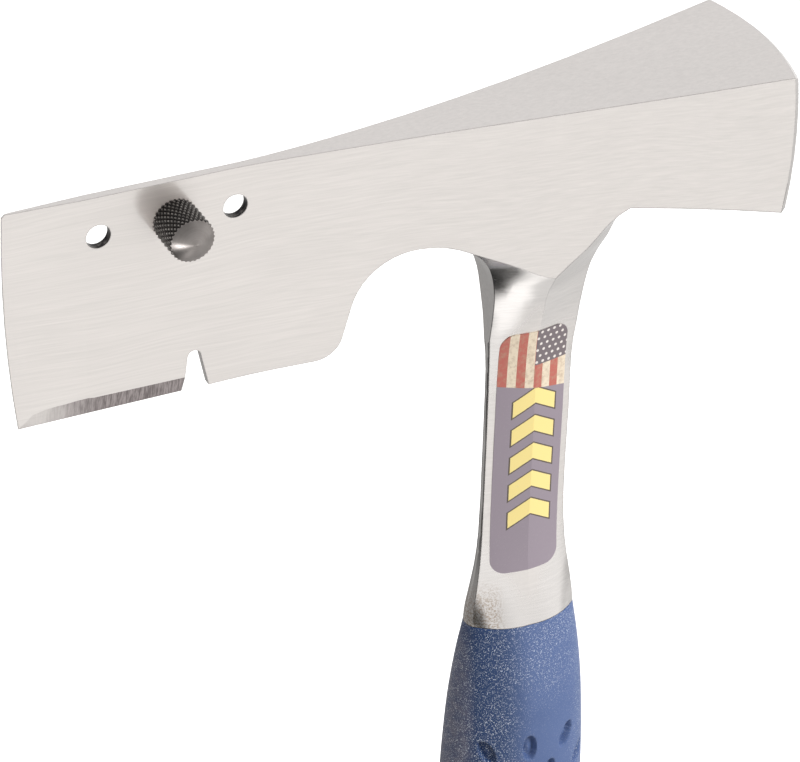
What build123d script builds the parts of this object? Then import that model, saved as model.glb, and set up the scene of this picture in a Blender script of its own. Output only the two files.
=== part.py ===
from build123d import *
import math
import os

# Roofing hatchet, in millimetres.
# Frame: origin at the centre of the butt, on the handle's axis. +Z runs up the handle,
# +X points to the striking face and -X to the blade. The gauge button is on the -Y side.

INCH = 25.4

# Handle and head, overall
GAUGE_Z = 321.5                 # height of the line of gauge holes above the butt
FACE_X = 47.4                   # edge of the striking face, from the handle's axis
BLADE_THICK = 1.8
RIM_HEIGHT = -116.0             # where the steel meets the grip, from the line of holes
RIM_Z = GAUGE_Z + RIM_HEIGHT
RIM = (12.6, 6.4)               # half width and half thickness of the oval rim
MID_REACH = FACE_X              # the handle's axis, as a reach behind the striking face

# Gauge: a button with a threaded stud, held by a lock washer and a thumb nut
GAUGE_REACH = 5 * INCH          # shingle exposure that the gauge is set to
SPARE_REACHES = (4.5 * INCH, 5.625 * INCH)
HOLE_R = 2.55
STUD_R = 2.415                  # number 10 thread
THREAD_CLEARANCE = 0.05
KNURL_R = 4.75
BUTTON_LENGTH = 8.5
DOME_HEIGHT = 1.7
DOME_R = 4.45
DOME_SINK = 0.02                # dome starts this far inside the button, so that they join
RIM_CHAMFER = 0.3
WASHER_THICK = 1.1
WASHER_R = 4.2
WASHER_BORE_R = 2.55
WASHER_SPLIT = 0.9
WASHER_SLANT = 35               # degrees the split leans along the stud
NUT_LENGTH = 4.6
COLLAR_R = 4.0
COLLAR_LENGTH = 0.6
THREAD_MOUTH = 0.4
STUD_PROUD = 1.2                # stud showing past the nut
STUD_TIP = 0.5
STUD_LENGTH = BLADE_THICK + WASHER_THICK + NUT_LENGTH + STUD_PROUD

# Striking face
CROWN_ACROSS_R = 62.0
CROWN_UP_R = 125.0
CROWN_RISE = 3.6                # middle of the face, in front of its upright edges
CROWN_HEIGHT = -1.5             # most forward line of the face, from the line of holes
FACE_BEVEL = 0.8

# Blade. It thins towards its cutting edge, which has a narrow bevel of its own.
TAPER_REACH = 145.3             # where it starts to thin
BLADE_END_REACH = 162.3
BLADE_END_HALF = 0.2            # half thickness there before the last bevel
BLADE_FOOT = -39.8              # lower edge, from the line of holes
TOP_CORNER = 0.7                # cut off the corner between the cutting edge and the top
EDGE_LAND = 0.1                 # half thickness left at either sharp edge
EDGE_SLOPE = 0.1
EDGE_SECTOR = 14                # degrees of the edge's circle that its bevel is ground over
EDGE_TURN = 170                 # where that sector starts, round from +X about +Y
EDGE_POINTS = ((159.7, -40.3), (162.1, -15.0), (BLADE_END_REACH, 8.2))

# Knife edge under the blade, ground from both sides: reach and top of the ground bevel
KNIFE_EDGE = -40.25
KNIFE_STATIONS = (
    (123.5, -36.8), (144.0, -36.5), (150.0, -36.6), (154.0, -36.9),
    (157.0, -37.6), (159.0, -38.6), (160.6, -39.7),
)

# Grip and tang
TANG_TOP = (8.6, 3.7)           # half width and half thickness just under the rim
TANG_END = (7.0, 3.2)
TANG_CORNER = 2.5
TANG_FOOT_Z = 32.0
BUTT_ROUND = 4.0

# Label on the front of the shank
LABEL_THICK = 0.15
LABEL_SIZE = (15.6, 59.3)
LABEL_CORNER = 3.2
LABEL_REACH = 47.8
LABEL_HEIGHT = -73.9

FAR = 80.0                      # larger than anything it has to cut through
OVERLAP = 10.0                  # how far cutting shapes run past what they cut


def head(reach, height):
    """Side-view point: reach behind the striking face's edge, height over the holes."""
    return (FACE_X - reach, GAUGE_Z + height)


def slab(outline, half_width=FAR):
    """Solid of a closed side outline, as wide on one side of the mid plane as the other."""
    return extrude(Plane.XZ * make_face(outline), half_width, both=True)


def blade_half(reach):
    """Half thickness of the blade's flat or tapered part at one reach."""
    thinning = (BLADE_THICK / 2 - BLADE_END_HALF) / (BLADE_END_REACH - TAPER_REACH)
    return BLADE_THICK / 2 - thinning * max(0, reach - TAPER_REACH)


def cheek_envelope():
    """Everything between the two cheeks: tapered, flat, then flaring to the striking face."""
    half = BLADE_THICK / 2
    flare = [(116, half), (100, 1.8), (80, 3.9), (60, 6.7), (40, 10.05), (20, 13.8), (-6, 18.9)]
    points = [(FACE_X - reach, y) for reach, y in flare]
    end_reach = BLADE_END_REACH + 1
    blade_end = FACE_X - end_reach
    end_half = blade_half(end_reach)
    side = Polyline((blade_end, end_half), (FACE_X - TAPER_REACH, half), points[0])
    side += Spline(points, tangents=[(1, 0), (1, 0.2)])
    outline = side + mirror(side, Plane.XZ)
    outline += Line((blade_end, end_half), (blade_end, -end_half))
    outline += Line(points[-1], (points[-1][0], -points[-1][1]))
    return Pos(0, 0, RIM_Z - OVERLAP) * extrude(make_face(outline), 2 * FAR)


def top_edge():
    """Nearly level over the blade, then rising in one long arc to the striking face."""
    corner = EDGE_POINTS[-1]
    level = Polyline(head(*corner), head(corner[0] - TOP_CORNER, 8.9), head(100, 8.5))
    return level + ThreePointArc(head(100, 8.5), head(48, 9.4), head(-6, 12.2))


def arch(last):
    """Finger arch under the head, from its blade side to the point called last."""
    blade_side = ThreePointArc(head(89.9, -28.6), head(85.98, -21.4), head(75.8, -17.2))
    neck_side = ThreePointArc(head(75.8, -17.2), head(70.8, -17.75), last)
    return blade_side + neck_side


def nail_notch():
    """Narrow V in the bottom edge for pulling nails, with a round root."""
    near = Line(head(119.7, BLADE_FOOT), head(121.45, -32.2))
    root = ThreePointArc(head(121.45, -32.2), head(122.85, -31.0), head(124.25, -32.2))
    far = Line(head(124.25, -32.2), head(125.2, EDGE_POINTS[0][1]))
    return near + root + far


def head_outline():
    """Side view of the head alone. It stops short of the V where the neck leaves the cheeks."""
    arch_end = head(65.6, -19.75)
    poll_start = head(32.6, -14.1)
    outline = top_edge()
    outline += Line(head(-6, 12.2), head(-6, -20.8))
    outline += ThreePointArc(head(-6, -20.8), head(16, -16.6), poll_start)
    outline += Polyline(poll_start, head(47.3, -20), arch_end)
    outline += arch(arch_end)
    outline += Line(head(89.9, -28.6), head(91.6, -35.2))
    outline += ThreePointArc(head(91.6, -35.2), head(93.3, -37.95), head(97, -39.5))
    outline += Line(head(97, -39.5), head(119.7, BLADE_FOOT))
    outline += nail_notch()
    outline += Line(head(125.2, EDGE_POINTS[0][1]), head(*EDGE_POINTS[0]))
    outline += ThreePointArc(*[head(*point) for point in EDGE_POINTS])
    return outline


def neck_outline():
    """Side view that trims the neck: arch and blade-side edge, poll underside and fillet.
    Lower down it stands clear, and the shank keeps the shape of its own sections."""
    arch_end = head(65.6, -19.75)
    blade_side = Spline(
        [arch_end, head(61.4, -23.6), head(59.0, -28.8), head(57.9, -38), head(57.75, -50)],
        tangents=[(1, -0.52), (0, -1)],
    )
    poll_side = Spline(
        [
            head(24, -15.3), head(30.3, -15.3), head(33.2, -17.6), head(34.9, -22),
            head(36.3, -29), head(37.2, -36),
        ],
        tangents=[(-1, 0.15), (-0.095, -1)],
    )
    poll_side += ThreePointArc(head(37.2, -36), head(37.7, -43), head(37.9, -50))
    foot = RIM_HEIGHT - OVERLAP
    outline = Polyline(arch_end, head(65.6, 0), head(24, 0), head(24, -15.3))
    outline += blade_side + poll_side
    outline += Polyline(
        head(57.75, -50), head(66, -60), head(66, foot),
        head(28, foot), head(28, -60), head(37.9, -50),
    )
    return outline


def neck_section(height, left, ridge, right, facet_bows, side_bow, skin=0.0):
    """Cross-section of the neck: a flattened diamond whose six sides bow out a little.
    left and right are (reach, half thickness) of its narrow sides, and ridge the same of its
    middle. facet_bows are those of the facets left and right of the ridge. skin thickens it
    all round, for the label that lies on it."""
    corners = [Vector(FACE_X - reach, thick + skin) for reach, thick in (left, ridge, right)]
    ring = corners + [Vector(p.X, -p.Y) for p in reversed(corners)]
    bows = [*facet_bows, side_bow, *reversed(facet_bows), side_bow]
    edges = Curve()
    for a, b, bow in zip(ring, ring[1:] + ring[:1], bows):
        chord = b - a
        outward = Vector(-chord.Y, chord.X).normalized()
        edges += ThreePointArc(a, (a + b) / 2 + outward * bow, b)
    return Pos(0, 0, GAUGE_Z + height) * make_face(edges)


def oval_station(height, half_width, half_thick):
    """Station whose six sides follow an ellipse about the handle's axis."""
    corner, shoulder = math.radians(20), math.radians(55)
    side = (half_width * math.cos(corner), half_thick * math.sin(corner))
    chord = Vector(side[0], side[1] - half_thick)
    bulge = Vector(half_width * math.cos(shoulder), half_thick * (math.sin(shoulder) - 1))
    front_bow = chord.cross(bulge).length / chord.length
    left, right = (MID_REACH + side[0], side[1]), (MID_REACH - side[0], side[1])
    return (height, left, (MID_REACH, half_thick), right, (front_bow, front_bow), half_width - side[0])


# Stations of the neck and shank from the head down to the rim: height, (reach, half
# thickness) of the blade side, the ridge and the poll side, then how far the two facets and
# the narrow sides bow out. Above -28 the stations grow past the cheeks, which cut them off in a
# V, and their narrow sides run past the side outline, which trims them.
SHANK_STATIONS = [
    (-12.0, (80.0, 8.0), (47.3, 27.0), (24.0, 8.0), (0.3, 0.5), 0.02),
    (-14.0, (80.0, 5.0), (47.3, 21.5), (27.0, 6.7), (0.4, 0.8), 0.02),
    (-15.6, (78.0, 4.5), (47.3, 18.3), (29.0, 5.8), (0.5, 1.0), 0.02),
    (-19.0, (74.0, 2.4), (47.3, 13.8), (31.0, 5.1), (0.6, 1.2), 0.02),
    (-22.0, (70.0, 1.7), (47.3, 11.8), (32.0, 4.8), (0.8, 1.1), 0.02),
    (-25.0, (66.0, 1.4), (47.3, 10.25), (33.0, 3.6), (0.8, 1.0), 0.02),
    (-28.7, (63.0, 1.4), (47.3, 8.7), (34.0, 2.7), (0.75, 0.4), 0.02),
    (-33.0, (61.0, 2.2), (47.3, 6.2), (35.5, 2.4), (0.65, 0.1), 0.02),
    (-38.5, (59.0, 2.0), (47.3, 4.5), (36.7, 1.9), (0.6, 0.03), 0.05),
    (-44.0, (57.9, 1.4), (47.3, 3.3), (37.6, 1.4), (0.5, 0.05), 0.1),
    (-50.0, (57.4, 0.9), (47.3, 2.7), (38.2, 0.9), (0.4, 0.1), 0.15),
    (-62.0, (57.2, 0.8), (47.3, 2.5), (38.3, 0.8), (0.2, 0.1), 0.15),
    (-90.0, (57.2, 0.8), (47.3, 2.6), (38.3, 0.8), (0.1, 0.1), 0.15),
    (-101.0, (57.6, 1.2), (47.4, 3.2), (37.5, 1.2), (0.25, 0.25), 0.3),
    (-109.0, (58.6, 1.8), (47.4, 4.5), (36.3, 1.8), (0.7, 0.7), 0.5),
    oval_station(RIM_HEIGHT, *RIM),
]

# Stations of the grip from its rim to the butt: height over the butt, half width, half
# thickness. It swells under the rim, has a slight waist, and flares at the butt.
GRIP_STATIONS = [
    (RIM_Z, *RIM),
    (197.0, 14.0, 7.9),
    (187.0, 15.2, 9.1),
    (174.0, 16.0, 10.2),
    (150.0, 16.4, 11.3),
    (110.0, 15.6, 11.5),
    (70.0, 15.4, 11.4),
    (38.0, 16.8, 12.2),
    (14.0, 18.8, 13.6),
    (0.0, 19.2, 14.0),
]


def shank_loft(skin=0.0):
    """Neck and shank before the cheeks and the side outline trim them."""
    return loft([neck_section(*station, skin=skin) for station in SHANK_STATIONS])


def crown_cutter():
    """What lies in front of the domed striking face, which is rounder across than upwards."""
    axis_x = FACE_X + CROWN_RISE - CROWN_ACROSS_R
    half_height = 30
    drop = CROWN_UP_R - math.sqrt(CROWN_UP_R**2 - half_height**2)
    middle = GAUGE_Z + CROWN_HEIGHT
    top = (axis_x + CROWN_ACROSS_R - drop, middle + half_height)
    foot = (top[0], middle - half_height)
    profile = ThreePointArc(foot, (axis_x + CROWN_ACROSS_R, middle), top)
    profile += Polyline(top, (axis_x, top[1]), (axis_x, foot[1]), foot)
    barrel = revolve(Plane.XZ * make_face(profile), Axis((axis_x, 0, 0), (0, 0, 1)))
    return Pos(FACE_X + 2, 0, middle) * Box(12, 50, 50) - barrel


def knife_wedge(reach, top):
    """Section of the knife_cutter at one reach: what lies outside the ground bevel."""
    slope = (top - KNIFE_EDGE) / (blade_half(reach) - EDGE_LAND)
    outer = BLADE_THICK
    plane = Plane(origin=(FACE_X - reach, 0, GAUGE_Z), x_dir=(0, 1, 0), z_dir=(1, 0, 0))
    profile = Polyline(
        (EDGE_LAND, KNIFE_EDGE - OVERLAP), (EDGE_LAND, KNIFE_EDGE),
        (outer, KNIFE_EDGE + slope * (outer - EDGE_LAND)), (outer, KNIFE_EDGE - OVERLAP), close=True,
    )
    return plane * make_face(profile)


def knife_cutter():
    """What is ground off one side of the blade's lower edge, running out at its corner."""
    sections = [knife_wedge(*station) for station in KNIFE_STATIONS]
    cutter = loft(sections[:2], ruled=True)
    for pair in zip(sections[1:], sections[2:]):
        cutter += loft(pair, ruled=True)
    return cutter


def edge_cutter():
    """What the last bevel of the curved cutting edge takes off one side: a sector of a cone."""
    arc = ThreePointArc(*[head(*point) for point in EDGE_POINTS])
    centre = Vector(arc.arc_center.X, 0, arc.arc_center.Y)
    radius = arc.radius
    inner = radius - (BLADE_THICK / 2 - EDGE_LAND) / EDGE_SLOPE
    profile = Polyline(
        (inner, BLADE_THICK / 2), (radius, EDGE_LAND), (radius + 1, EDGE_LAND),
        (radius + 1, BLADE_THICK), (inner, BLADE_THICK), close=True,
    )
    sector = revolve(make_face(profile), Axis.Y, revolution_arc=EDGE_SECTOR)
    return Pos(*centre) * (Rot(0, EDGE_TURN, 0) * sector)


def gauge_holes():
    """Pins that cut the three gauge holes through the blade."""
    pin = Rot(90, 0, 0) * Cylinder(HOLE_R, OVERLAP)
    reaches = (GAUGE_REACH, *SPARE_REACHES)
    return [Pos(FACE_X - reach, 0, GAUGE_Z) * pin for reach in reaches]


def tang_blank():
    """Flat tang that runs down inside the grip."""
    top = Pos(0, 0, RIM_Z) * RectangleRounded(2 * TANG_TOP[0], 2 * TANG_TOP[1], TANG_CORNER)
    end = Pos(0, 0, TANG_FOOT_Z) * RectangleRounded(2 * TANG_END[0], 2 * TANG_END[1], TANG_CORNER)
    return loft([top, end])


def make_forging():
    """Head, neck, shank and tang, forged in one piece."""
    body = slab(head_outline()) + (shank_loft() & slab(neck_outline()))
    body = body & cheek_envelope()
    body -= crown_cutter()
    for cutter in (edge_cutter(), knife_cutter()):
        body -= cutter
        body -= mirror(cutter, Plane.XZ)
    for pin in gauge_holes():
        body -= pin
    rim_edges = body.faces().sort_by(Axis.X)[-1].edges()
    body = chamfer(rim_edges, FACE_BEVEL)
    return body + tang_blank()


def make_grip():
    """Rubbery grip, moulded round the tang from the rim to the butt."""
    sections = [
        neck_section(*oval_station(z - GAUGE_Z, half_width, half_thick))
        for z, half_width, half_thick in GRIP_STATIONS
    ]
    body = loft(sections)
    butt_edges = body.faces().sort_by(Axis.Z)[0].edges()
    body = fillet(butt_edges, BUTT_ROUND)
    return body - tang_blank()


def make_label():
    """Thin label that follows the two facets on the front of the shank."""
    width, height = LABEL_SIZE
    centre = Pos(FACE_X - LABEL_REACH, 0, GAUGE_Z + LABEL_HEIGHT)
    sheet = centre * (Plane.XZ * RectangleRounded(width, height, LABEL_CORNER))
    stamp = extrude(sheet, OVERLAP)
    return (shank_loft(LABEL_THICK) & stamp) - shank_loft()


def turned(*profile):
    """Solid turned about +Y from a closed profile of (distance along +Y, radius) points."""
    corners = [(radius, along) for along, radius in profile]
    return revolve(make_face(Polyline(*corners, close=True)), Axis.Y)


def at_gauge(part, y=0.0):
    """The part moved from the origin to the gauge's hole, y from the blade's mid plane."""
    return Pos(FACE_X - GAUGE_REACH, y, GAUGE_Z) * part


def make_button():
    """Gauge button with its domed end and threaded stud in one piece."""
    end = -BUTTON_LENGTH
    body = turned(
        (0, 0), (0, KNURL_R - RIM_CHAMFER), (-RIM_CHAMFER, KNURL_R),
        (end + RIM_CHAMFER, KNURL_R), (end, KNURL_R - RIM_CHAMFER), (end, 0),
    )
    dome_r = (DOME_R**2 + DOME_HEIGHT**2) / (2 * DOME_HEIGHT)
    ball = Pos(0, end - DOME_HEIGHT + dome_r, 0) * Sphere(dome_r)
    dome = ball & Pos(0, end - OVERLAP / 2, 0) * Box(FAR, OVERLAP + DOME_SINK, FAR)
    tip = STUD_LENGTH - STUD_TIP
    stud = turned(
        (0, 0), (0, STUD_R), (tip, STUD_R),
        (STUD_LENGTH, STUD_R - STUD_TIP), (STUD_LENGTH, 0),
    )
    return at_gauge(body + dome + stud, -BLADE_THICK / 2)


def make_washer():
    """Split spring washer, pressed flat under the nut."""
    ring = turned(
        (0, WASHER_BORE_R), (0, WASHER_R),
        (WASHER_THICK, WASHER_R), (WASHER_THICK, WASHER_BORE_R),
    )
    saw = Rot(0, 0, WASHER_SLANT) * Box(WASHER_SPLIT, 4 * WASHER_THICK, 2 * WASHER_R)
    ring -= Pos(0, WASHER_THICK / 2, WASHER_R) * saw
    return at_gauge(ring, BLADE_THICK / 2)


def make_nut():
    """Round thumb nut with a plain collar next to the washer."""
    bore_r = STUD_R + THREAD_CLEARANCE
    grip_r = KNURL_R - RIM_CHAMFER
    body = turned(
        (0, bore_r), (0, COLLAR_R), (COLLAR_LENGTH, COLLAR_R), (COLLAR_LENGTH, grip_r),
        (COLLAR_LENGTH + RIM_CHAMFER, KNURL_R), (NUT_LENGTH - RIM_CHAMFER, KNURL_R),
        (NUT_LENGTH, grip_r), (NUT_LENGTH, bore_r + THREAD_MOUTH),
        (NUT_LENGTH - THREAD_MOUTH, bore_r),
    )
    return at_gauge(body, BLADE_THICK / 2 + WASHER_THICK)


os.makedirs("parts", exist_ok=True)
parts = {
    "head_forging": make_forging(),
    "grip": make_grip(),
    "label": make_label(),
    "gauge_button": make_button(),
    "lock_washer": make_washer(),
    "thumb_nut": make_nut(),
}
for node, shape in parts.items():
    export_step(shape, f"parts/{node}.step")
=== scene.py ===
import math

import bpy
import numpy as np
from mathutils import Matrix, Vector


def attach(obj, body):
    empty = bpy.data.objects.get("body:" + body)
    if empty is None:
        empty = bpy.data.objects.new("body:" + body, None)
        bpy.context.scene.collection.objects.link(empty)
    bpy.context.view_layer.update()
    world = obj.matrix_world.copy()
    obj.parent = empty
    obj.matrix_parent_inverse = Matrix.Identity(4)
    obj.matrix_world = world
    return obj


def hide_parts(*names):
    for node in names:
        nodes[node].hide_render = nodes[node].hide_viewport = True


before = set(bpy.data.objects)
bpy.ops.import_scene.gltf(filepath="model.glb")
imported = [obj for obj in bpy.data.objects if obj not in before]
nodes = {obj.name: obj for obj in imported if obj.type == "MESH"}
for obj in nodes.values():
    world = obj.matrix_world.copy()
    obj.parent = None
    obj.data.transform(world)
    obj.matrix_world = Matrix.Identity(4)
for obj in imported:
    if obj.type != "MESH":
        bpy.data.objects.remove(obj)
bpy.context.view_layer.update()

# Lengths are in millimetres until a mesh is made, in the CAD's frame.
MM = 0.001

# Gauge
GAUGE_X, GAUGE_Z = -79.6, 321.5
HALF_BLADE = 0.9
KNURL_R = 4.75
KNURL_TEETH = 30
KNURL_DEPTH = 0.42
KNURL_ASPECT = 1.6
BUTTON_END = -9.4
DOME_R, DOME_HEIGHT = 4.5, 1.7
PIP_R, PIP_DEPTH = 0.42, 0.1
CHAMFER = 0.12
STUD_R = 2.415
STUD_END = 7.8
THREAD_PITCH = 25.4 / 24
THREAD_DEPTH = 0.5
STUD_TIP = 0.5
NUT_START, NUT_END = 2.0, 6.6
COLLAR_R, COLLAR_END = 4.0, 2.6
BORE_R = 2.47
NUT_MOUTH = 0.4                 # depth of the open end of its bore
NUT_GROOVE = 0.12               # depth of the turned ring on its end

# Grip: height over the butt, half width, half thickness
GRIP_STATIONS = [
    (205.5, 12.6, 6.4), (197.0, 14.0, 7.9), (187.0, 15.2, 9.1), (174.0, 16.0, 10.2),
    (150.0, 16.4, 11.3), (110.0, 15.6, 11.5), (70.0, 15.4, 11.4), (38.0, 16.8, 12.2),
    (14.0, 18.8, 13.6), (0.0, 19.2, 14.0),
]
RIM_Z = 205.5
BUTT_ROUND = 4.0
LIP = 0.35
DIMPLE_TOP = 175.4
DIMPLE_ROWS = 9
DIMPLE_STEP = 15.0
DIMPLE_SIZE = (1.6, 3.2)
DIMPLE_DEPTH = 1.5
DIMPLE_SPACING = 9.6
DIMPLE_SHIFT = -0.8             # of the whole pattern, from the middle of the grip
DIMPLE_LEAN = 0.5               # radians that a dimple leans for each place from the middle
DIMPLE_REACH = 1.5              # places from the middle to the outermost dimple
FINE_TOP = 179.5                # the mesh is finer from here down past the last dimples

# Label
LABEL_LEFT, LABEL_RIGHT = -8.2, 7.4
LABEL_BORDER = 264.6            # foot of the banner at the label's left edge
LABEL_BORDER_SLOPE = 0.2
PANEL_LEFT, PANEL_FOOT = -0.3, 268.6
STRIPES = 8
DOT_PITCH, DOT_R = 1.5, 0.22    # the radius is a share of the pitch
CHEVRONS_FOOT, CHEVRONS_TOP = 231.4, 265.6
CHEVRONS_LEFT, CHEVRONS_RIGHT = -4.9, 5.5
CHEVRON_PITCH, CHEVRON_SLOPE, CHEVRON_MIDDLE = 6.9, 0.62, 0.3
CHEVRON_LINE = 0.34             # dark outline round the chevrons

SPARE_HOLES_X = (-66.9, -95.475)
SPARE_HOLE_R = 2.55


# ---------------------------------------------------------------- meshes

def add_piece(name, vertices, faces, body, materials, face_material=None, smooth_angle=40):
    """Mesh piece from millimetre points, smooth shaded except at edges over smooth_angle."""
    mesh = bpy.data.meshes.new(name)
    mesh.from_pydata([tuple(v) for v in np.asarray(vertices) * MM], [], [list(f) for f in faces])
    for material in materials:
        mesh.materials.append(material)
    if face_material is not None:
        mesh.polygons.foreach_set("material_index", face_material)
    mesh.validate()
    mesh.shade_smooth()
    mesh.set_sharp_from_angle(angle=math.radians(smooth_angle))
    piece = bpy.data.objects.new(name, mesh)
    bpy.context.scene.collection.objects.link(piece)
    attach(piece, body)
    return piece


def tube(rings):
    """Quads between equal closed rings of points, given as an array (ring, around, 3)."""
    rings = np.asarray(rings, float)
    count, around = rings.shape[:2]
    i, j = np.meshgrid(np.arange(count - 1), np.arange(around), indexing="ij")
    k = (j + 1) % around
    faces = np.stack([i * around + j, i * around + k, (i + 1) * around + k, (i + 1) * around + j], -1)
    return rings.reshape(-1, 3), faces.reshape(-1, 4).tolist()


def closed(rings):
    """A tube with each end closed by a fan."""
    vertices, faces = tube(rings)
    around = np.asarray(rings).shape[1]
    last = len(vertices) - around
    centres = [vertices[:around].mean(0), vertices[last:].mean(0)]
    n = len(vertices)
    vertices = np.vstack([vertices, centres])
    faces += [[n, (j + 1) % around, j] for j in range(around)]
    faces += [[n + 1, last + j, last + (j + 1) % around] for j in range(around)]
    return vertices, faces


def triangle_wave(t):
    """0 at whole numbers and 1 half way between them."""
    return 1 - np.abs(2 * (t % 1.0) - 1)


def knurl(angle, along):
    """Height of the diamond knurl, from 0 in its grooves to 1 on its points."""
    turn = angle / (2 * math.pi) * KNURL_TEETH
    step = along / (KNURL_ASPECT * 2 * math.pi * KNURL_R / KNURL_TEETH)
    return np.clip(1.2 * np.minimum(triangle_wave(turn + step), triangle_wave(turn - step)), 0, 1)


def knurled(angle, y, start, end):
    """Radius of a knurled surface that is chamfered at both ends."""
    cut = KNURL_R - KNURL_DEPTH * (1 - knurl(angle, y))
    inset = max(0.0, CHAMFER - min(abs(y - start), abs(y - end)))
    return np.minimum(cut, KNURL_R - inset)


def make_button(knurl_metal, turned_metal):
    """Knurled gauge button with its domed, turned end."""
    around = KNURL_TEETH * 12
    angle = np.linspace(0, 2 * math.pi, around, endpoint=False)
    start, end = -HALF_BLADE, BUTTON_END
    rings = []

    def ring(r, y):
        r, y = r + 0 * angle, y + 0 * angle
        rings.append(np.stack([GAUGE_X + r * np.sin(angle), y, GAUGE_Z + r * np.cos(angle)], -1))

    ring(STUD_R, start - 0.01)
    for y in np.linspace(start - 0.01, end, 96):
        ring(knurled(angle, y, start, end), y)
    side_rings = len(rings)
    edge = knurled(angle, end, start, end)
    ball_r = (DOME_R**2 + DOME_HEIGHT**2) / (2 * DOME_HEIGHT)
    for t in np.linspace(0, 1, 40)[:-1]:
        r = np.minimum(edge, DOME_R) * (1 - t)
        height = np.sqrt(ball_r**2 - r**2) - (ball_r - DOME_HEIGHT)
        pip = PIP_DEPTH * np.clip(1 - (r / PIP_R) ** 2, 0, 1)
        ring(r, end - height + pip)
    vertices, faces = closed(rings)
    index = np.zeros(len(faces), int)
    index[(side_rings - 1) * around:(len(rings) - 1) * around] = 1
    index[-around:] = 1
    return add_piece(
        "gauge_button_knurled", vertices, faces, "button",
        [knurl_metal, turned_metal], index, 30,
    )


def make_stud(metal):
    """Threaded stud of the gauge button, with a chamfered tip."""
    around = 48
    angle = np.linspace(0, 2 * math.pi, around, endpoint=False)
    rings = []
    for y in np.linspace(-HALF_BLADE - 0.02, STUD_END, 130):
        crest = np.clip(1.25 * triangle_wave(y / THREAD_PITCH - angle / (2 * math.pi)), 0, 1)
        r = STUD_R - THREAD_DEPTH * (1 - crest)
        r = np.minimum(r, STUD_R - STUD_TIP + (STUD_END - y))
        rings.append(np.stack([GAUGE_X + r * np.sin(angle), y + 0 * r, GAUGE_Z + r * np.cos(angle)], -1))
    vertices, faces = closed(rings)
    faces = [f[::-1] for f in faces]
    return add_piece("gauge_stud_thread", vertices, faces, "button", [metal])


def make_nut(knurl_metal, plain_metal):
    """Knurled thumb nut with a plain collar next to the washer."""
    around = KNURL_TEETH * 12
    angle = np.linspace(0, 2 * math.pi, around, endpoint=False)
    rings = []

    def ring(r, y):
        r = r + 0 * angle
        rings.append(np.stack([GAUGE_X + r * np.sin(angle), y + 0 * r, GAUGE_Z + r * np.cos(angle)], -1))

    chamfer = 0.15
    outline = [(BORE_R, NUT_END - NUT_MOUTH), (BORE_R, NUT_START), (COLLAR_R - chamfer, NUT_START)]
    outline += [(COLLAR_R, NUT_START + chamfer), (COLLAR_R, COLLAR_END), (KNURL_R - 0.35, COLLAR_END)]
    collar_rings = len(outline) - 1
    for r, y in outline:
        ring(r, y)
    for y in np.linspace(COLLAR_END, NUT_END, 48):
        ring(knurled(angle, y, COLLAR_END, NUT_END), y)
    first_plain = len(rings) - 1
    groove = NUT_END - NUT_GROOVE
    for r, y in [(4.2, NUT_END), (3.4, NUT_END), (3.25, groove), (2.9, groove)]:
        ring(r, y)
    rings.append(rings[0])
    vertices, faces = tube(rings)
    index = np.ones(len(faces), int)
    index[collar_rings * around:first_plain * around] = 0
    faces = [f[::-1] for f in faces]
    return add_piece(
        "thumb_nut_knurled", vertices, faces, "nut",
        [knurl_metal, plain_metal], index, 30,
    )


def grip_half_axes(z):
    """Half width and half thickness of the grip at a height, from a smooth curve."""
    heights = [s[0] for s in reversed(GRIP_STATIONS)]
    out = []
    for column in (1, 2):
        values = [s[column] for s in reversed(GRIP_STATIONS)]
        slopes = np.gradient(values, heights)
        out.append(hermite(z, heights, values, slopes))
    return out


def hermite(x, xs, ys, slopes):
    """Cubic through the points (xs, ys) with the given slopes."""
    xs, ys, slopes = np.asarray(xs, float), np.asarray(ys, float), np.asarray(slopes, float)
    i = np.clip(np.searchsorted(xs, x) - 1, 0, len(xs) - 2)
    span = xs[i + 1] - xs[i]
    t = (x - xs[i]) / span
    return (
        ys[i] * (1 + 2 * t) * (1 - t) ** 2 + ys[i + 1] * t**2 * (3 - 2 * t)
        + span * (slopes[i] * t * (1 - t) ** 2 - slopes[i + 1] * t**2 * (1 - t))
    )


def dimple_depth(arc, height, half_girth):
    """Depth of the oval finger dimples. arc is the distance round from the front's middle."""
    depth = np.zeros(np.broadcast(arc, height).shape)
    for row in range(DIMPLE_ROWS):
        centre_z = DIMPLE_TOP - row * DIMPLE_STEP / 2
        shift = 0.5 if row % 2 else 0.0
        for column in range(-2, 3):
            place = column + shift
            if abs(place) > DIMPLE_REACH:
                continue
            centre = place * DIMPLE_SPACING + DIMPLE_SHIFT
            lean = DIMPLE_LEAN * place
            for side in (0, half_girth):
                du = (arc - side - centre + half_girth) % (2 * half_girth) - half_girth
                dz = height - centre_z
                u = du * math.cos(lean) - dz * math.sin(lean)
                v = du * math.sin(lean) + dz * math.cos(lean)
                far = np.hypot(u / DIMPLE_SIZE[0], v / DIMPLE_SIZE[1])
                wall = np.clip((1.0 - far) / 0.26, 0, 1)
                wall = wall * wall * (3 - 2 * wall)
                pillow = 0.4 * np.clip(1 - far / 0.8, 0, 1)
                depth = np.maximum(depth, DIMPLE_DEPTH * wall * (1 - pillow))
    return depth


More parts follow.
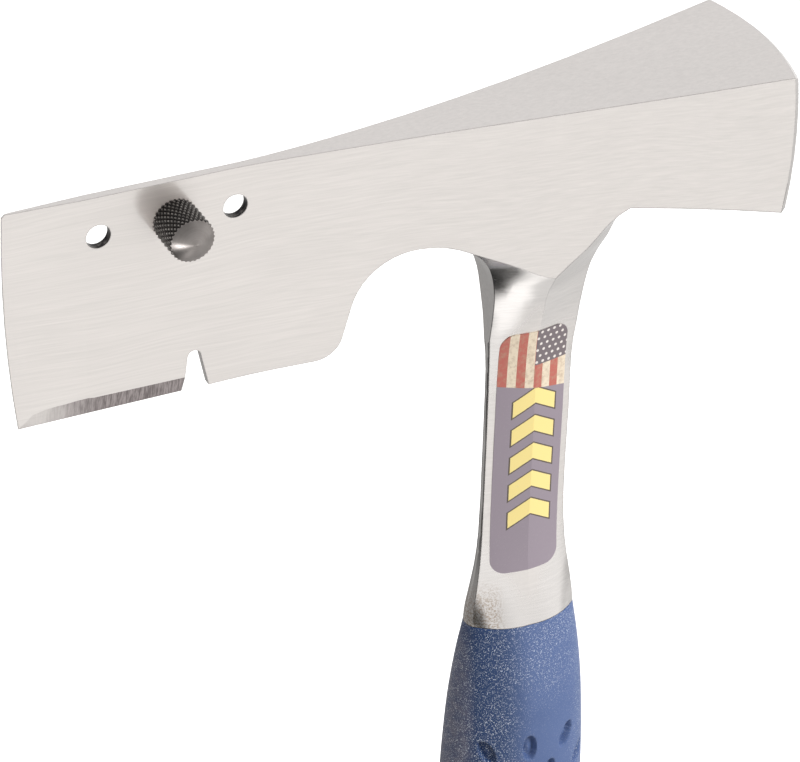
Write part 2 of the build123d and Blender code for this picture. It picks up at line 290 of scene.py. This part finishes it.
def make_grip(vinyl):
    """Moulded grip with oval dimples, a small lip at the rim and a rounded butt."""
    around = 360
    angle = np.linspace(0, 2 * math.pi, around, endpoint=False)
    profile = [(RIM_Z - 0.02, LIP + 0.9), (RIM_Z - 0.02, LIP)]
    for t in np.linspace(0, math.pi / 2, 5)[1:]:
        profile.append((RIM_Z - LIP + LIP * math.cos(t), LIP - LIP * math.sin(t)))
    dimple_foot = DIMPLE_TOP - DIMPLE_ROWS * DIMPLE_STEP / 2 - 4
    profile += [(z, 0.0) for z in np.linspace(RIM_Z - LIP, FINE_TOP, 26)[1:]]
    profile += [(z, 0.0) for z in np.linspace(FINE_TOP, dimple_foot, 300)[1:]]
    profile += [(z, 0.0) for z in np.linspace(dimple_foot, BUTT_ROUND, 70)[1:]]
    for t in np.linspace(0, math.pi / 2, 14)[1:]:
        profile.append((BUTT_ROUND * (1 - math.sin(t)), BUTT_ROUND * (1 - math.cos(t))))
    profile += [(0.0, 5.0), (0.0, 5.6), (0.35, 6.0), (0.5, 6.6), (0.5, 9.0)]
    rings = []
    for z, inset in profile:
        width, thick = grip_half_axes(z)
        # Ramanujan's formula for the way round an ellipse
        girth = math.pi * (3 * (width + thick) - math.sqrt((3 * width + thick) * (width + 3 * thick)))
        x, y = np.sin(angle) * width, -np.cos(angle) * thick
        normal = np.stack([np.sin(angle) / width, -np.cos(angle) / thick], -1)
        normal /= np.linalg.norm(normal, axis=1, keepdims=True)
        step = np.hypot(np.diff(x, append=x[:1]), np.diff(y, append=y[:1]))
        arc = np.concatenate([[0], np.cumsum(step)[:-1]])
        inset = inset + (dimple_depth(arc, z, girth / 2) if 100 < z < 182 else 0.0)
        rings.append(np.stack([x - normal[:, 0] * inset, y - normal[:, 1] * inset, z + 0 * x], -1))
    vertices, faces = closed(rings)
    return add_piece("grip_moulded", vertices, faces, "hatchet", [vinyl], None, 60)


# ---------------------------------------------------------------- materials

class Nodes:
    """Adds nodes to one tree."""

    def __init__(self, tree):
        self.tree = tree

    def set(self, socket, value):
        if isinstance(value, bpy.types.NodeSocket):
            self.tree.links.new(value, socket)
        elif socket.type == "RGBA" and len(value) == 3:
            socket.default_value = (*value, 1)
        else:
            socket.default_value = value

    def node(self, kind, inputs=(), out=0, **options):
        """Adds a node, sets its options and inputs (by name or number) and returns an output."""
        node = self.tree.nodes.new(kind)
        for key, value in options.items():
            setattr(node, key, value)
        for key, value in dict(inputs).items():
            self.set(node.inputs[key], value)
        return node.outputs[out]

    def math(self, operation, a, b=0.0, c=0.0, clamp=False):
        return self.node("ShaderNodeMath", {0: a, 1: b, 2: c}, operation=operation, use_clamp=clamp)

    def vector(self, operation, a, b=(0, 0, 0)):
        return self.node("ShaderNodeVectorMath", {0: a, 1: b}, operation=operation)

    def dot(self, a, b):
        return self.node("ShaderNodeVectorMath", {0: a, 1: b}, out="Value", operation="DOT_PRODUCT")

    def length(self, vector):
        return self.node("ShaderNodeVectorMath", {0: vector}, out="Value", operation="LENGTH")

    def scaled(self, vector, factors):
        return self.vector("MULTIPLY", vector, factors)

    def split(self, vector):
        node = self.tree.nodes.new("ShaderNodeSeparateXYZ")
        self.set(node.inputs[0], vector)
        return node.outputs

    def join(self, x, y, z):
        return self.node("ShaderNodeCombineXYZ", {0: x, 1: y, 2: z})

    def noise(self, vector, scale=1.0, detail=2.0, roughness=0.5, color=False):
        inputs = {"Vector": vector, "Scale": scale, "Detail": detail, "Roughness": roughness}
        return self.node("ShaderNodeTexNoise", inputs, out=1 if color else 0)

    def ramp(self, value, low, high, to_low=0.0, to_high=1.0, smooth=True):
        kind = "SMOOTHSTEP" if smooth else "LINEAR"
        inputs = {"Value": value, "From Min": low, "From Max": high, "To Min": to_low, "To Max": to_high}
        return self.node("ShaderNodeMapRange", inputs, interpolation_type=kind)

    def mix(self, factor, a, b):
        node = self.tree.nodes.new("ShaderNodeMix")
        node.data_type = "RGBA"
        for key, value in ((0, factor), (6, a), (7, b)):
            self.set(node.inputs[key], value)
        return node.outputs[2]

    def blend_values(self, factor, a, b):
        node = self.tree.nodes.new("ShaderNodeMix")
        for key, value in ((0, factor), (2, a), (3, b)):
            self.set(node.inputs[key], value)
        return node.outputs[0]

    def normal(self):
        """Surface normal in the piece's own frame."""
        world = self.node("ShaderNodeNewGeometry", out="Normal")
        return self.to_object(world)

    def to_object(self, vector, back=False):
        ends = ("OBJECT", "WORLD") if back else ("WORLD", "OBJECT")
        return self.node(
            "ShaderNodeVectorTransform", {0: vector},
            vector_type="NORMAL", convert_from=ends[0], convert_to=ends[1],
        )

    def bump(self, height, distance, strength=1.0, normal=None):
        inputs = {"Height": height, "Distance": distance * MM, "Strength": strength}
        if normal is not None:
            inputs["Normal"] = normal
        return self.node("ShaderNodeBump", inputs)


class Shader(Nodes):
    """Builds one node material. Its position is in millimetres, in the piece's own frame."""

    def __init__(self, name):
        self.material = bpy.data.materials.new(name)
        self.material.use_nodes = True
        super().__init__(self.material.node_tree)
        self.tree.nodes.clear()
        self.output = self.tree.nodes.new("ShaderNodeOutputMaterial")
        self.position = self.scaled(self.node("ShaderNodeTexCoord", out="Object"), (1 / MM,) * 3)

    def from_axis(self, axis_x=GAUGE_X):
        """Offset from the axis of a gauge hole, square to it, and that offset's length."""
        x, _, z = self.split(self.position)
        offset = self.join(self.math("SUBTRACT", x, axis_x), 0.0, self.math("SUBTRACT", z, GAUGE_Z))
        return offset, self.length(offset)

    def surface(self, **inputs):
        """A Principled BSDF. Spaces in its input names are written as underscores."""
        return self.node("ShaderNodeBsdfPrincipled", {k.replace("_", " "): v for k, v in inputs.items()})

    def end(self, shader):
        self.tree.links.new(shader, self.output.inputs[0])
        return self.material

    def finish(self, **inputs):
        """Ends the material in a Principled BSDF."""
        return self.end(self.surface(**inputs))


def brushed_grain(s, x, y, z):
    """Grinding lines along the head, with finer scratches across them at a slight angle."""
    drift = s.noise(s.scaled(s.position, (0.02, 0.1, 0.06)), 1.0, 1.0)
    wavy = s.math("ADD", z, s.math("MULTIPLY", drift, 6.0))
    lines = s.noise(
        s.join(s.math("MULTIPLY", x, 0.035), s.math("MULTIPLY", y, 0.9), s.math("MULTIPLY", wavy, 2.2)),
        1.0, 3.0, 0.6,
    )
    tilted = s.math("ADD", wavy, s.math("MULTIPLY", x, 0.05))
    scratch_place = s.join(s.math("MULTIPLY", x, 0.06), y, s.math("MULTIPLY", tilted, 5.0))
    scratches = s.noise(scratch_place, 1.0, 3.0, 0.6)
    return s.math("ADD", s.math("MULTIPLY", lines, 0.6), s.math("MULTIPLY", scratches, 0.4))


def inside_spare_holes(s, y):
    """1 on the walls of the two open gauge holes."""
    near_hole = 0.0
    for hole_x in SPARE_HOLES_X:
        _, far = s.from_axis(hole_x)
        near_hole = s.math("MAXIMUM", near_hole, s.math("LESS_THAN", far, SPARE_HOLE_R + 0.07))
    return s.math("MULTIPLY", s.math("LESS_THAN", s.math("ABSOLUTE", y), HALF_BLADE - 0.01), near_hole)


def ground_steel():
    """Ground steel: lines along the head, loose scratches on top, a cross-ground knife bevel in
    painted shade, black oxide left in the gauge holes, pits over the grip, painted shade down the
    blade side of the shank, thin painted dark edges, and cheeks painted paler than the other faces."""
    s = Shader("ground_steel")
    x, y, z = s.split(s.position)
    nx, ny, nz = s.split(s.normal())
    along = brushed_grain(s, x, y, z)
    loose = s.noise(s.scaled(s.position, (0.8, 1.4, 0.3)), 1.0, 5.0, 0.7)
    cross = s.noise(s.scaled(s.position, (3.6, 1.0, 0.22)), 1.0, 4.0, 0.65)
    on_top = s.ramp(nz, 0.7, 0.9)
    in_front = s.ramp(s.math("ABSOLUTE", ny), 0.955, 0.985)
    facing_down = s.ramp(nz, -0.1, -0.22)
    on_knife = s.math("MULTIPLY", facing_down, s.ramp(x, -75.5, -76.5))
    on_knife = s.math("MULTIPLY", on_knife, s.ramp(s.math("ABSOLUTE", ny), 0.3, 0.6))
    in_hole = inside_spare_holes(s, y)
    grain = s.blend_values(on_top, along, loose)
    grain = s.blend_values(on_knife, grain, cross)
    clouds = s.noise(s.position, 0.045, 2.0)
    tone = s.ramp(grain, 0.25, 0.75, 0.925, 1.075, False)
    tone = s.math("ADD", tone, s.ramp(clouds, 0.3, 0.7, -0.012, 0.012, False))
    # Painted light: the cheeks get a paler colour than the other faces, standing in for the light they
    # catch.
    color = s.mix(in_front, (0.80, 0.775, 0.757), (0.95, 0.915, 0.888))
    color = s.mix(on_top, color, (0.80, 0.77, 0.755))
    # Painted shade: the downward-facing knife bevel is coloured dark; the cross grinding in it is real
    # grain.
    knife_tone = s.ramp(cross, 0.35, 0.65)
    color = s.mix(on_knife, color, s.mix(knife_tone, (0.27, 0.235, 0.235), (0.52, 0.47, 0.465)))
    color = s.scaled(color, s.join(tone, tone, tone))
    color = s.mix(in_hole, color, s.mix(s.ramp(loose, 0.4, 0.7), (0.02, 0.018, 0.02), (0.16, 0.15, 0.14)))
    pitted = s.math("MULTIPLY", s.ramp(z, 218.0, 209.0), s.ramp(x, -5.0, -8.0))
    pits = s.noise(s.position, 2.4, 3.0, 0.7)
    color = s.mix(s.math("MULTIPLY", pitted, s.ramp(pits, 0.42, 0.62)), color, (0.50, 0.42, 0.35))
    # Painted shade: a dark band down the blade side of the shank, next to its front.
    on_side = s.math("MULTIPLY", s.ramp(nx, -0.84, -0.90), s.ramp(z, 290.0, 282.0))
    on_side = s.math("MULTIPLY", on_side, s.ramp(z, 212.0, 230.0, 0.25, 1.0))
    shaded = s.math("MULTIPLY", on_side, s.ramp(s.math("ABSOLUTE", ny), 0.05, 0.15))
    color = s.mix(s.math("MULTIPLY", shaded, 0.85), color, (0.05, 0.045, 0.045))
    # Painted shade: thin dark lines along the edges, strongest by the neck, stand in for dark reflections
    # in the rounded edges.
    rounded = s.node("ShaderNodeBevel", {"Radius": 0.3 * MM}, samples=6)
    flat = s.node("ShaderNodeNewGeometry", out="Normal")
    edge = s.ramp(s.dot(rounded, flat), 0.998, 0.97)
    by_neck = s.math("MULTIPLY", s.ramp(z, 309.5, 308.0), s.ramp(x, -24.0, -22.0))
    edge = s.math("MULTIPLY", edge, s.blend_values(by_neck, 0.1, 0.8))
    color = s.mix(edge, color, (0.13, 0.12, 0.115))
    rough = s.ramp(grain, 0.3, 0.7, 0.17, 0.24, False)
    rough = s.math("MULTIPLY", rough, s.ramp(in_front, 0.0, 1.0, 0.85, 1.0))
    rough = s.math("MULTIPLY", rough, s.ramp(on_top, 0.0, 1.0, 1.0, 2.0))
    normal = s.bump(grain, 0.012, 0.35, rounded)
    tangent = s.to_object((0.0, 0.0, 1.0), back=True)
    sheen = s.surface(
        Base_Color=color, Metallic=1.0, Roughness=rough, Anisotropic=0.45, Tangent=tangent, Normal=normal,
    )
    haze = s.surface(Base_Color=color, Metallic=1.0, Roughness=0.75, Normal=normal)
    return s.end(s.node("ShaderNodeMixShader", {0: s.math("MULTIPLY", in_front, 0.5), 1: sheen, 2: haze}))


def black_oxide(name, tint, rough):
    """Dark steel with worn points that also carry a painted highlight, and painted shade in the grooves,
    by distance from the gauge's axis. It is made paler for every ray but the camera's, to soften its
    reflection in the blade."""
    s = Shader(name)
    _, radius = s.from_axis()
    # Paler knurl points: partly real wear and partly a painted highlight.
    worn_points_and_highlight = s.ramp(radius, KNURL_R - 0.17, KNURL_R - 0.03)
    painted_groove_shade = s.ramp(radius, KNURL_R - 0.18, KNURL_R - 0.36)
    speck = s.noise(s.position, 2.2, 3.0, 0.6)
    worn_points_and_highlight = s.math("MULTIPLY", worn_points_and_highlight, s.ramp(speck, 0.3, 0.62))
    color = s.mix(worn_points_and_highlight, tint, (0.46, 0.44, 0.42))
    color = s.mix(s.ramp(speck, 0.55, 0.75, 0.0, 0.35), color, (0.10, 0.085, 0.07))
    # Painted shade: the knurl grooves, and the whole stud inside them, go nearly black.
    color = s.mix(painted_groove_shade, color, (0.012, 0.011, 0.011))
    seen = s.node("ShaderNodeLightPath", out="Is Camera Ray")
    color = s.mix(seen, (0.62, 0.58, 0.56), color)
    roughness = s.ramp(speck, 0.3, 0.7, rough - 0.06, rough + 0.1)
    return s.finish(
        Base_Color=color, Metallic=1.0, Roughness=roughness,
        Normal=s.bump(speck, 0.02, 0.3),
    )


def turned_steel():
    """Turned end of the gauge: fine rings about the axis and a highlight that runs across them."""
    s = Shader("turned_steel")
    across, radius = s.from_axis()
    rings = s.noise(s.join(s.math("MULTIPLY", radius, 7.0), 0.0, 0.0), 1.0, 4.0, 0.7)
    soft = s.noise(s.position, 0.5, 2.0)
    tone = s.ramp(rings, 0.3, 0.7, -0.05, 0.05, False)
    tone = s.math("ADD", tone, s.ramp(soft, 0.3, 0.7, -0.02, 0.02, False))
    color = s.vector("ADD", (0.33, 0.305, 0.292), s.join(tone, tone, tone))
    tangent = s.to_object(s.vector("NORMALIZE", across), back=True)
    return s.finish(
        Base_Color=color, Metallic=1.0, Roughness=s.ramp(rings, 0.3, 0.7, 0.30, 0.42, False),
        Anisotropic=0.8, Tangent=tangent, Normal=s.bump(rings, 0.01, 0.5),
    )


def spring_steel():
    """Plain drawn wire, a little stained."""
    s = Shader("spring_steel_drawn")
    stain = s.noise(s.position, 0.9, 4.0, 0.6)
    color = s.mix(s.ramp(stain, 0.35, 0.7), (0.40, 0.39, 0.38), (0.24, 0.21, 0.19))
    lines = s.noise(s.scaled(s.position, (1.0, 9.0, 1.0)), 1.0, 3.0)
    rounded = s.node("ShaderNodeBevel", {"Radius": 0.12 * MM}, samples=4)
    return s.finish(
        Base_Color=color, Metallic=1.0, Roughness=s.ramp(lines, 0.3, 0.7, 0.28, 0.42),
        Normal=s.bump(lines, 0.01, 0.3, rounded),
    )


def blue_vinyl():
    """Blue moulded vinyl with pale fibre-like grain, thickest on the blade side and under the rim,
    painted shade on the blade side, and a paler blade-side edge that is a painted sheen."""
    s = Shader("blue_vinyl")
    x, _, z = s.split(s.position)
    warp = s.noise(s.position, 1.3, 2.0, 0.6, color=True)
    bent = s.vector("ADD", s.position, s.scaled(warp, (0.9, 0.9, 0.9)))
    rims = s.node(
        "ShaderNodeTexVoronoi", {"Vector": bent, "Scale": 1.9, "Randomness": 1.0},
        feature="DISTANCE_TO_EDGE", out="Distance",
    )
    broken = s.noise(s.position, 3.9, 2.0, 0.6)
    fibres = s.math("MULTIPLY", s.ramp(rims, 0.10, 0.035), s.ramp(broken, 0.55, 0.60))
    cells = s.node("ShaderNodeTexVoronoi", {"Vector": s.position, "Scale": 3.6}, out="Distance")
    speck_mask = s.ramp(s.noise(s.position, 2.6, 2.0), 0.56, 0.60)
    specks = s.math("MULTIPLY", s.ramp(cells, 0.36, 0.2), speck_mask)
    blade_side = s.ramp(x, 1.0, -8.0)
    under_rim = s.math("MULTIPLY", s.ramp(z, 180.0, 198.0), 0.75)
    far_side = s.math("MULTIPLY", s.ramp(x, 8.0, 13.0), 0.5)
    patch = s.noise(s.position, 0.14, 3.0, 0.6)
    where = s.math("MAXIMUM", s.math("MAXIMUM", blade_side, under_rim), far_side)
    where = s.math("MULTIPLY", where, s.ramp(patch, 0.3, 0.6, 0.35, 1.0))
    grain = s.math("MAXIMUM", fibres, s.math("MULTIPLY", specks, 0.8))
    grain = s.math("MULTIPLY", grain, s.math("ADD", where, 0.08), clamp=True)
    cloud = s.noise(s.position, 0.08, 3.0)
    color = s.mix(s.ramp(cloud, 0.3, 0.7), (0.072, 0.117, 0.262), (0.086, 0.134, 0.286))
    # Painted shade: the blade side of the grip is coloured a darker navy.
    color = s.mix(s.math("MULTIPLY", blade_side, 0.85), color, (0.010, 0.036, 0.115))
    # Painted sheen: the blade-side edge of the grip is coloured paler and warmer, standing in for grazing
    # reflections.
    edge_sheen_noise = s.ramp(s.noise(s.position, 0.5, 4.0), 0.3, 0.7, 0.5, 1.0)
    painted_edge_sheen = s.math("MULTIPLY", s.ramp(x, -11.5, -14.5), edge_sheen_noise)
    color = s.mix(s.math("MULTIPLY", painted_edge_sheen, 0.7), color, (0.20, 0.19, 0.235))
    color = s.mix(grain, color, (0.74, 0.79, 0.87))
    pores = s.noise(s.position, 3.2, 4.0, 0.65)
    roughness = s.math("ADD", s.ramp(pores, 0.3, 0.7, 0.40, 0.52), s.math("MULTIPLY", grain, -0.1))
    return s.finish(
        Base_Color=color, Roughness=roughness, Specular_IOR_Level=0.45,
        Normal=s.bump(s.math("ADD", pores, grain), 0.05, 0.5),
    )


def printed_label():
    """Printed film: stripes and a dotted panel over a field with a column of chevrons."""
    s = Shader("printed_label")
    x, _, z = s.split(s.position)
    red, cream, slate = (0.47, 0.115, 0.085), (0.76, 0.65, 0.50), (0.155, 0.125, 0.135)
    field, yellow, ink = (0.275, 0.230, 0.270), (0.86, 0.70, 0.26), (0.085, 0.065, 0.05)

    def between(value, low, high):
        inside = s.math("GREATER_THAN", value, low)
        return s.math("MULTIPLY", inside, s.math("LESS_THAN", value, high))

    stripe_width = (LABEL_RIGHT - LABEL_LEFT) / STRIPES
    count = s.math("DIVIDE", s.math("SUBTRACT", x, LABEL_LEFT), 2 * stripe_width)
    is_red = s.math("LESS_THAN", s.math("FRACT", count), 0.5)
    stripes = s.mix(is_red, cream, red)
    foxing = s.noise(s.position, 0.9, 5.0, 0.7)
    stripes = s.mix(s.ramp(foxing, 0.42, 0.7, 0.0, 0.6), stripes, (0.42, 0.30, 0.20))
    right_of = s.math("GREATER_THAN", x, PANEL_LEFT)
    panel = s.math("MULTIPLY", right_of, s.math("GREATER_THAN", z, PANEL_FOOT))
    row = s.math("DIVIDE", z, DOT_PITCH)
    is_odd = s.math("GREATER_THAN", s.math("FRACT", s.math("MULTIPLY", row, 0.5)), 0.5)
    column_place = s.math("ADD", s.math("DIVIDE", x, DOT_PITCH), s.math("MULTIPLY", is_odd, 0.5))
    dot_x = s.math("SUBTRACT", s.math("FRACT", column_place), 0.5)
    dot_z = s.math("SUBTRACT", s.math("FRACT", row), 0.5)
    far = s.length(s.join(dot_x, dot_z, 0.0))
    dotted = s.mix(s.math("LESS_THAN", far, DOT_R), slate, (0.75, 0.70, 0.66))
    banner = s.mix(panel, stripes, dotted)

    off_middle = s.math("ABSOLUTE", s.math("SUBTRACT", x, CHEVRON_MIDDLE))
    roof = s.math("ADD", z, s.math("MULTIPLY", off_middle, CHEVRON_SLOPE))
    part = s.math("FRACT", s.math("DIVIDE", s.math("SUBTRACT", roof, CHEVRONS_FOOT), CHEVRON_PITCH))
    yellow_band = between(part, 0.05, 0.60)
    ink_band = between(part, 0.0, 0.65)

    def column(margin):
        wide = between(x, CHEVRONS_LEFT + margin, CHEVRONS_RIGHT - margin)
        high = between(roof, CHEVRONS_FOOT + margin, CHEVRONS_TOP - margin)
        return s.math("MULTIPLY", wide, high)

    lower = s.mix(s.math("MULTIPLY", column(0.0), ink_band), field, ink)
    lower = s.mix(s.math("MULTIPLY", column(CHEVRON_LINE), yellow_band), lower, yellow)
    from_left = s.math("SUBTRACT", x, LABEL_LEFT)
    border = s.math("SUBTRACT", LABEL_BORDER, s.math("MULTIPLY", from_left, LABEL_BORDER_SLOPE))
    color = s.mix(s.math("GREATER_THAN", z, border), lower, banner)
    wear = s.noise(s.position, 2.5, 4.0, 0.7)
    color = s.mix(s.ramp(wear, 0.55, 0.8, 0.0, 0.25), color, (0.5, 0.47, 0.45))
    return s.finish(
        Base_Color=color, Roughness=s.ramp(wear, 0.3, 0.7, 0.28, 0.38), Specular_IOR_Level=0.5,
        Coat_Weight=0.3, Coat_Roughness=0.2, Normal=s.bump(wear, 0.01, 0.3),
    )


# ---------------------------------------------------------------- studio

def add_light(name, place, target, size, power, only=None):
    """Area light, placed and sized in metres. One that is only for a piece lights nothing
    else, and only such a light shows in reflections."""
    data = bpy.data.lights.new(name, "AREA")
    data.shape = "RECTANGLE"
    data.size, data.size_y = size
    data.energy = power
    light = bpy.data.objects.new(name, data)
    bpy.context.scene.collection.objects.link(light)
    light.location = place
    light.rotation_euler = (Vector(target) - Vector(place)).to_track_quat("-Z", "Y").to_euler()
    light.visible_camera = False
    light.visible_glossy = only is not None
    if only is not None:
        lit = bpy.data.collections.new(name + "_lights")
        lit.objects.link(only)
        light.light_linking.receiver_collection = lit


# The studio as the polished steel sees it: soft cards in front of an even white. Each has the
# compass direction of its middle (0 is +X, -90 is -Y), elevation, radius and blur, in degrees,
# and its brightness. A later card covers an earlier one.
WHITE = 1.0
ROOM_TINT = (1.0, 0.99, 0.98)
CARDS = [
    (-60, 45, 45, 30, 0.64),
    (-115, 35, 40, 30, 0.34),
    (65, 35, 45, 30, 0.84),
    (85, -25, 28, 20, 0.45),
    (10, -50, 30, 16, 0.68),
    (-42, -62, 30, 14, 0.80),
    (-20, -30, 9, 12, 0.5),
    (135, -25, 48, 24, 0.36),
    (-165, 0, 40, 24, 0.34),
    (-95, -64, 14, 7, 1.36),
    (-126, -28, 12, 10, 0.05),
    (-122, -55, 13, 8, 0.02),
    (-165, -68, 22, 6, 0.02),
    (60, -80, 9, 5, 0.04),
]


def room_brightness(s, direction):
    """Brightness of the studio along a direction."""
    value = WHITE
    for compass, elevation, radius, blur, brightness in CARDS:
        a, e = math.radians(compass), math.radians(elevation)
        middle = (math.cos(a) * math.cos(e), math.sin(a) * math.cos(e), math.sin(e))
        away = s.math("ARCCOSINE", s.dot(direction, middle))
        low, high = math.radians(radius + blur / 2), math.radians(radius - blur / 2)
        value = s.blend_values(s.ramp(away, low, high), value, brightness)
    return value


def make_world():
    """White studio room with soft cards. The camera sees plain white."""
    world = bpy.data.worlds.new("studio")
    bpy.context.scene.world = world
    world.use_nodes = True
    s = Nodes(world.node_tree)
    direction = s.node("ShaderNodeTexCoord", out="Generated")
    camera = s.node("ShaderNodeLightPath", out="Is Camera Ray")
    strength = s.blend_values(camera, room_brightness(s, direction), 1.0)
    background = s.tree.nodes["Background"]
    s.set(background.inputs["Strength"], strength)
    s.set(background.inputs["Color"], ROOM_TINT)


def make_floor():
    """Pale floor. Reflections see the studio's cards in it, the camera sees plain paint."""
    s = Shader("floor_paint")
    incoming = s.node("ShaderNodeNewGeometry", out="Incoming")
    around = room_brightness(s, s.scaled(incoming, (-1, -1, -1)))
    cards = s.node("ShaderNodeEmission", {"Color": ROOM_TINT, "Strength": around})
    paint = s.surface(
        Base_Color=(0.93, 0.925, 0.92), Roughness=0.9, Emission_Color=(1, 1, 1), Emission_Strength=0.4,
    )
    path = s.node("ShaderNodeLightPath", out="Is Camera Ray")
    s.end(s.node("ShaderNodeMixShader", {0: path, 1: cards, 2: paint}))
    mesh = bpy.data.meshes.new("floor")
    r = 12.0
    mesh.from_pydata([(-r, -r, 0), (r, -r, 0), (r, r, 0), (-r, r, 0)], [], [(0, 1, 2, 3)])
    mesh.materials.append(s.material)
    floor = bpy.data.objects.new("floor", mesh)
    bpy.context.scene.collection.objects.link(floor)


def make_camera():
    """Camera above and to the left, looking down at the head."""
    turn, rise, roll = math.radians(-26.754), math.radians(33.321), math.radians(1.864)
    back = Vector((math.sin(turn) * math.cos(rise), -math.cos(turn) * math.cos(rise), math.sin(rise)))
    level = Vector((math.cos(turn), math.sin(turn), 0))
    plumb = back.cross(level)
    right = math.cos(roll) * level + math.sin(roll) * plumb
    up = -math.sin(roll) * level + math.cos(roll) * plumb
    target = Vector((-32.6, 0, 301.5))
    eye = (target + 1.79 * right - 24.966 * up + 931.93 * back) * MM
    data = bpy.data.cameras.new("camera")
    data.sensor_width = 36
    data.lens = 4704.8 * 36 / 800
    camera = bpy.data.objects.new("camera", data)
    bpy.context.scene.collection.objects.link(camera)
    camera.matrix_world = Matrix(
        [(right[i], up[i], back[i], eye[i]) for i in range(3)] + [(0, 0, 0, 1)]
    )
    bpy.context.scene.camera = camera


# ---------------------------------------------------------------- build


def repaint(node, material):
    mesh = nodes[node].data
    mesh.materials.clear()
    mesh.materials.append(material)
    mesh.polygons.foreach_set("material_index", [0] * len(mesh.polygons))


repaint("head_forging", ground_steel())
repaint("lock_washer", spring_steel())
repaint("label", printed_label())

dark = black_oxide("black_oxide_knurl", (0.075, 0.071, 0.069), 0.3)
turned = turned_steel()
button = make_button(dark, turned)
make_stud(black_oxide("black_oxide_thread", (0.08, 0.075, 0.075), 0.3))
nut = make_nut(dark, turned)
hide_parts("gauge_button")
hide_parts("thumb_nut")
grip = make_grip(blue_vinyl())
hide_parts("grip")

make_world()
make_floor()
make_camera()
add_light("key", (0.9, -1.1, 1.3), (0, 0, 0.25), (1.0, 1.0), 30)
add_light("fill", (-1.2, -0.6, 1.2), (0, 0, 0.25), (1.0, 1.0), 2)
dome = Vector((GAUGE_X, BUTTON_END - DOME_HEIGHT, GAUGE_Z)) * MM
add_light("button_glint", dome + Vector((-0.13, -0.225, -0.15)), dome, (0.05, 0.05), 0.25, button)
bpy.context.scene.view_settings.view_transform = "Standard"
